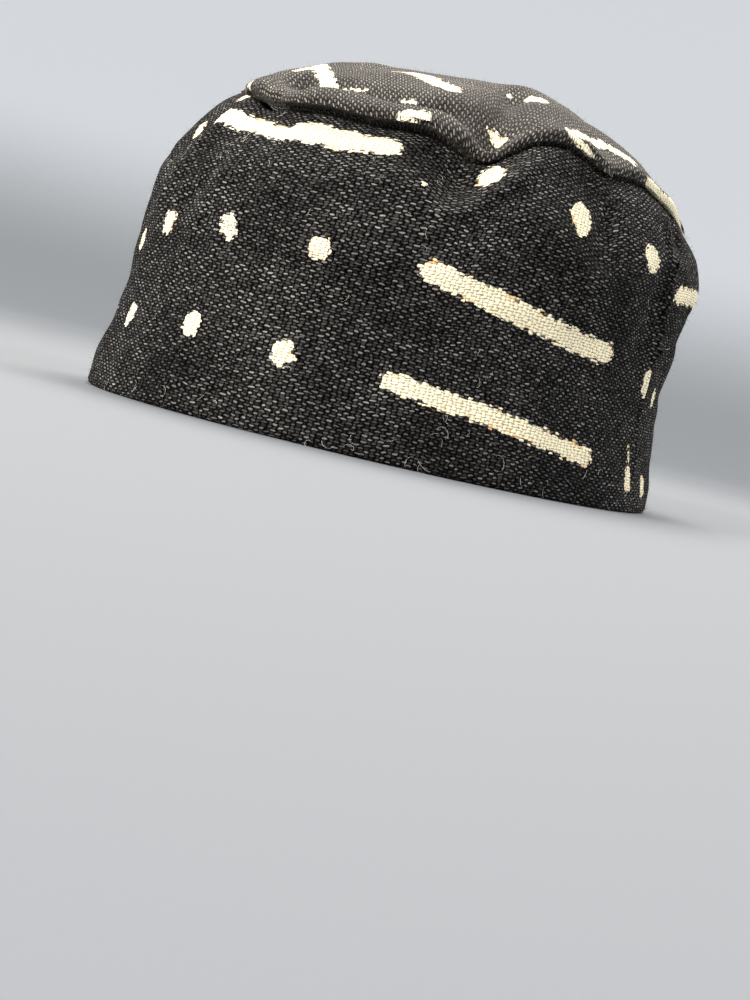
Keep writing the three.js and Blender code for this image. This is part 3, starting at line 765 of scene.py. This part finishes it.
def fibres(name, roots, ways, bends, thickness, steps):
    """All fibres as one mesh. A fibre's middle line is root + way * t + bend * t^2, for t from 0 to 1, and
    its radius is thickness * sqrt(sin(pi * t)). A curled fibre has a bend of its own for each step."""
    t = np.linspace(0, 1, steps + 2)
    line = roots[:, None] + ways[:, None] * t[:, None] + bends * (t**2)[:, None]
    line[..., 2] = np.maximum(line[..., 2], 2 * thickness)  # none goes through the floor
    run = np.gradient(line, axis=1)
    run /= np.linalg.norm(run, axis=-1, keepdims=True)
    side = np.cross(run, ASIDE)
    side /= np.linalg.norm(side, axis=-1, keepdims=True)
    third = np.cross(run, side)
    corner = np.radians([0, 120, 240])[:, None]
    radius = thickness * np.sqrt(np.sin(np.pi * t[1:-1]))[:, None, None]
    outward = np.cos(corner) * side[:, 1:-1, None] + np.sin(corner) * third[:, 1:-1, None]
    ring = line[:, 1:-1, None] + radius * outward
    points = np.concatenate([ring.reshape(len(roots), -1, 3), line[:, :1], line[:, -1:]], 1)
    r, c = np.meshgrid(np.arange(steps - 1) * 3, np.arange(3), indexing="ij")
    c2 = (c + 1) % 3
    lower, upper = np.stack([r + c, r + c2, r + 3 + c2], -1), np.stack([r + c, r + 3 + c2, r + 3 + c], -1)
    root, tip, last = 3 * steps, 3 * steps + 1, 3 * (steps - 1)
    ends = np.array([[root, 1, 0], [root, 2, 1], [root, 0, 2]]
                    + [[last + i, last + (i + 1) % 3, tip] for i in range(3)])
    one = np.concatenate([lower.reshape(-1, 3), upper.reshape(-1, 3), ends])
    faces = (one + np.arange(len(roots))[:, None, None] * points.shape[1]).reshape(-1, 3)
    mesh = bpy.data.meshes.new(name)
    mesh.from_pydata((points.reshape(-1, 3) * MM).tolist(), [], faces.tolist())
    mesh.shade_smooth()
    piece = bpy.data.objects.new(name, mesh)
    bpy.context.scene.collection.objects.link(piece)
    print(name, "has", len(roots), "fibres and", len(faces), "triangles")
    return piece


def strewn(points, normals, count, random, heaped):
    """Random points of a grid and their outward directions, each as likely as heaped says."""
    pick = random.choice(heaped.size, count, p=heaped.ravel() / heaped.sum())
    return points.reshape(-1, 3)[pick], normals.reshape(-1, 3)[pick]


def face_areas(points):
    """Area of cloth that each point of a grid stands for: the two steps to its neighbours, crossed."""
    return np.linalg.norm(np.cross(np.gradient(points, axis=0), np.gradient(points, axis=1)), axis=-1)


# %% Fuzz
FUZZ_THICKNESS, FUZZ_STEPS = 0.022, 3
FUZZ_LENGTHS = (0.7, 2.2)  # mm
FUZZ_OUT, FUZZ_LYING, FUZZ_BEND, FUZZ_ROOT = 0.55, 0.5, 0.35, 0.1

random = np.random.default_rng(21)
band_skin, crown_skin = grid_normals(outer), grid_normals(crown)
band_area, crown_area = face_areas(outer), face_areas(crown)
fuzz = []
for name, skin_points, skin_facing, area, count in (
    ("band_fuzz", outer, band_skin, band_area, 7000), ("crown_fuzz", crown, crown_skin, crown_area, 4500),
):
    root_points, out_ways = strewn(skin_points, skin_facing, count, random, area)
    lying = random.normal(size=(count, 3))
    length = random.uniform(*FUZZ_LENGTHS, (count, 1))
    way = length * (FUZZ_OUT * out_ways + FUZZ_LYING * lying / np.linalg.norm(lying, axis=1, keepdims=True))
    bend = random.normal(size=(count, 1, 3)) * FUZZ_BEND * length[:, None]
    root_points = root_points - FUZZ_ROOT * out_ways
    fuzz.append(fibres(name, root_points, way, bend, FUZZ_THICKNESS, FUZZ_STEPS))

# %% Lint
LINT_HAIRS, LINT_TURNS, LINT_THICKNESS = 230, 14, 0.042
LINT_SWIRLS, LINT_CURLS, LINT_REACHES = (1.5, 7.0), (0.3, 1.3), (1.0, 4.5)
# at degrees, half-width, at height, half-height, amount
LINT_HEAPS = [(-22, 8, 82, 9, 1.0), (16, 6, 83, 5, 1.3), (38, 6, 12, 6, 0.8)]
RIM_LINT, EVEN_LINT = 0.5, 0.10

heap = 0.0
for at_deg, half_width, at_height, half_height, amount in LINT_HEAPS:
    in_deg, in_height = (deg_open - at_deg) / half_width, (outer[..., 2] - at_height) / half_height
    heap = heap + amount * np.exp(-(in_deg**2) - in_height**2)
heap = heap + RIM_LINT * np.exp(-((outer[..., 2] - 5) / 5) ** 2) + EVEN_LINT
root_points, out_ways = strewn(outer, band_skin, LINT_HAIRS, random, heap * band_area)
sideways = np.cross(out_ways, random.normal(size=out_ways.shape))
sideways /= np.linalg.norm(sideways, axis=1, keepdims=True)
crossways = np.cross(out_ways, sideways)
t = np.linspace(0, 1, LINT_TURNS + 2)
swirl = random.uniform(0, 2 * np.pi, (LINT_HAIRS, 1)) + t * random.uniform(*LINT_SWIRLS, (LINT_HAIRS, 1))
curl_size = random.uniform(*LINT_CURLS, (LINT_HAIRS, 1, 1))
along_side, along_cross = np.cos(swirl)[..., None], np.sin(swirl)[..., None]
curl = curl_size * (along_side * sideways[:, None] + along_cross * crossways[:, None])
curl = (curl - curl[:, :1]) / np.maximum(t**2, 1e-3)[:, None]
reach = sideways * random.uniform(*LINT_REACHES, (LINT_HAIRS, 1)) + 0.5 * out_ways
lint = fibres("lint_hairs", root_points + 0.25 * out_ways, reach, curl, LINT_THICKNESS, LINT_TURNS)

# %% [markdown]
# ## Finish of the fibres
# A loose fibre is plain cotton in one tone: dyed like the cloth it stands on, or pale where it is lint. On
# the crown it is lighter than on the band, painted light as on the crown's cloth. A slow noise makes some
# lighter than others, so that they don't read as one even veil.

# %% Fibre materials
FIBRE_FINISHES = [
    ("dyed cotton fuzz on the band", "#6a6762"), ("dyed cotton fuzz on the crown with painted light", "#857c73"),
    ("pale lint", "#cfcac0"),
]
for piece, (name, tone) in zip(fuzz + [lint], FIBRE_FINISHES):
    finish = bpy.data.materials.new(name)
    finish.use_nodes = True
    tree = finish.node_tree
    tree.nodes.clear()
    spot = add(tree, "TexCoord", {}).outputs["Object"]
    spot = add(tree, "TexNoise", {"Vector": spot, "Scale": 300.0}).outputs["Fac"]
    shade = add(tree, "MapRange", {0: spot, 1: 0.35, 2: 0.65, 3: 0.5, 4: 1.15}).outputs[0]
    shade = add(tree, "VectorMath", {0: linear(tone)[:3], "Scale": shade}, operation="SCALE").outputs[0]
    skin = add(tree, "BsdfPrincipled", {"Base Color": shade, "Roughness": 0.8, "Specular IOR Level": 0.3})
    add(tree, "OutputMaterial", {0: skin.outputs[0]})
    piece.data.materials.append(finish)

# %% [markdown]
# ## Floor and backdrop
# One pale sheet makes the floor and curves up far behind into the backdrop, all round, so the cap can be
# seen from any side. Its colour carries painted light: light near the cap and darker further out, a painted
# pool of light as if the lamps stood close, and the part that climbs is lighter and glows a little by
# emission, a painted glow where no lamp reaches it.

# %% The studio sheet
FLAT_RADII = (0.0, 0.05, 0.1, 0.2, 0.4, 0.8, 1.4)  # metres, here and below
BEND_START, BEND_RADIUS, WALL_TOP = 1.6, 1.6, 2.4


def revolved(name, profile, columns=96):
    """A surface of revolution about the upright axis: each row of (radius, height) becomes a ring."""
    radius, height = np.array(profile, float).T
    angle = np.linspace(0, 2 * np.pi, columns, endpoint=False)
    points = np.stack([radius[:, None] * np.cos(angle), radius[:, None] * np.sin(angle),
                       height[:, None] * np.ones(columns)], -1).reshape(-1, 3)
    r, c = np.meshgrid(np.arange(len(radius) - 1), np.arange(columns), indexing="ij")
    d = (c + 1) % columns
    faces = np.stack([r * columns + c, (r + 1) * columns + c, (r + 1) * columns + d, r * columns + d], -1)
    mesh = bpy.data.meshes.new(name)
    mesh.from_pydata(points.tolist(), [], faces.reshape(-1, 4).tolist())
    mesh.shade_smooth()
    thing = bpy.data.objects.new(name, mesh)
    bpy.context.scene.collection.objects.link(thing)
    return thing


bend_angles = np.linspace(0, np.pi / 2, 24)
sheet_profile = [(r, 0) for r in FLAT_RADII]
sheet_profile += [(BEND_START + BEND_RADIUS * np.sin(t), BEND_RADIUS * (1 - np.cos(t))) for t in bend_angles]
sheet_profile += [(BEND_START + BEND_RADIUS, WALL_TOP)]
studio_sheet = revolved("studio_sheet", sheet_profile)

# %% Backdrop paper
paper = bpy.data.materials.new("backdrop paper with painted light")
paper.use_nodes = True
tree = paper.node_tree
tree.nodes.clear()
in_room = add(tree, "TexCoord", {}).outputs["Object"]
room = add(tree, "SeparateXYZ", {0: in_room}).outputs
on_floor = add(tree, "CombineXYZ", {0: room["X"], 1: room["Y"]}).outputs[0]
distance = add(tree, "VectorMath", {0: on_floor}, operation="LENGTH").outputs["Value"]
climb = add(tree, "MapRange", {0: room["Z"], 1: 0.06, 2: 0.34}, interpolation_type="SMOOTHSTEP").outputs[0]
values = {"distance": distance, "climb": climb}
# Painted light: a pool of light near the cap that falls off further out, a lighter climbing wall, and a
# painted glow by emission out there.
work_out(tree, values, [
    ("painted_falloff", "RANGE", "distance", 0.25, 1.1), ("near", "SUBTRACT", 1.0, "painted_falloff"),
    ("pale", "MAXIMUM", "near", "climb"),
    ("painted_glow_up", "MULTIPLY_ADD", "climb", 0.28, 0.27), ("painted_glow", "MULTIPLY", "painted_glow_up", "painted_falloff"),
])
# Painted pool of light: the dark far tone and the light near tone.
shares = {0: values["pale"], 6: linear("#4b4d50"), 7: linear("#707275")}
paper_tone_with_painted_light = add(tree, "Mix", shares, data_type="RGBA").outputs[2]
grain = add(tree, "TexNoise", {"Vector": in_room, "Scale": 900.0}).outputs["Fac"]
bump = add(tree, "Bump", {"Height": grain, "Distance": 0.0001, "Strength": 0.2}).outputs[0]
skin = add(tree, "BsdfPrincipled", {
    "Base Color": paper_tone_with_painted_light, "Roughness": 0.9, "Normal": bump,
    "Emission Color": linear("#f4f7fa"), "Emission Strength": values["painted_glow"],
})
add(tree, "OutputMaterial", {0: skin.outputs[0]})
studio_sheet.data.materials.append(paper)

# %% [markdown]
# ## Lamps
# Three large, soft lamps: one above and a little behind lights the crown, the strongest stands in front and
# a little to the side and shows the weave, and a weak one at the other side keeps the far wall from going
# black. A pale air fills the rest.

# %% Lamps and air
LAMP_AIM = [0, 0, 0.07]  # metres, the middle of the cap


def soft_light(name, where, size, watts, tint):
    """A square lamp that faces the cap, in metres and watts."""
    lamp = bpy.data.objects.new(name, bpy.data.lights.new(name, "AREA"))
    lamp.data.size, lamp.data.energy, lamp.data.color = size, watts, linear(tint)[:3]
    behind = np.array(where) - LAMP_AIM
    behind /= np.linalg.norm(behind)
    side = np.cross([0.0, 1.0, 0.01], behind)
    side /= np.linalg.norm(side)
    across_lamp = np.cross(behind, side)
    lamp.matrix_world = standing(side, across_lamp, behind, where)
    bpy.context.scene.collection.objects.link(lamp)


soft_light("overhead light", (-0.12, 0.35, 0.95), 0.6, 20.5, "#fffaf2")
soft_light("front light", (-0.36, -1.15, 0.46), 0.7, 33.0, "#fffdfa")
soft_light("side light", (1.1, 0.3, 0.45), 0.5, 9.0, "#f4f6fb")
world = bpy.data.worlds.new("studio air")
bpy.context.scene.world = world
world.use_nodes = True
world.node_tree.nodes["Background"].inputs[0].default_value = linear("#e6e9ee")
world.node_tree.nodes["Background"].inputs[1].default_value = 1.1
bpy.context.scene.view_settings.view_transform = "Standard"

# %% [markdown]
# ## Put each piece on the body
# Both pieces ride on the cap's one body and stand for their solids, which are hidden. The fuzz and
# lint ride on the same body.

# %% Pieces and the end
for piece, node, slot in (
    (side_band_cloth, "side_band", "band_cloth"), (top_panel_cloth, "top_panel", "top_cloth"),
):
    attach(piece, "root")
    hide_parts(node)
for piece, slot in zip(fuzz + [lint], ("band_cloth", "top_cloth", "band_cloth")):
    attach(piece, "root")
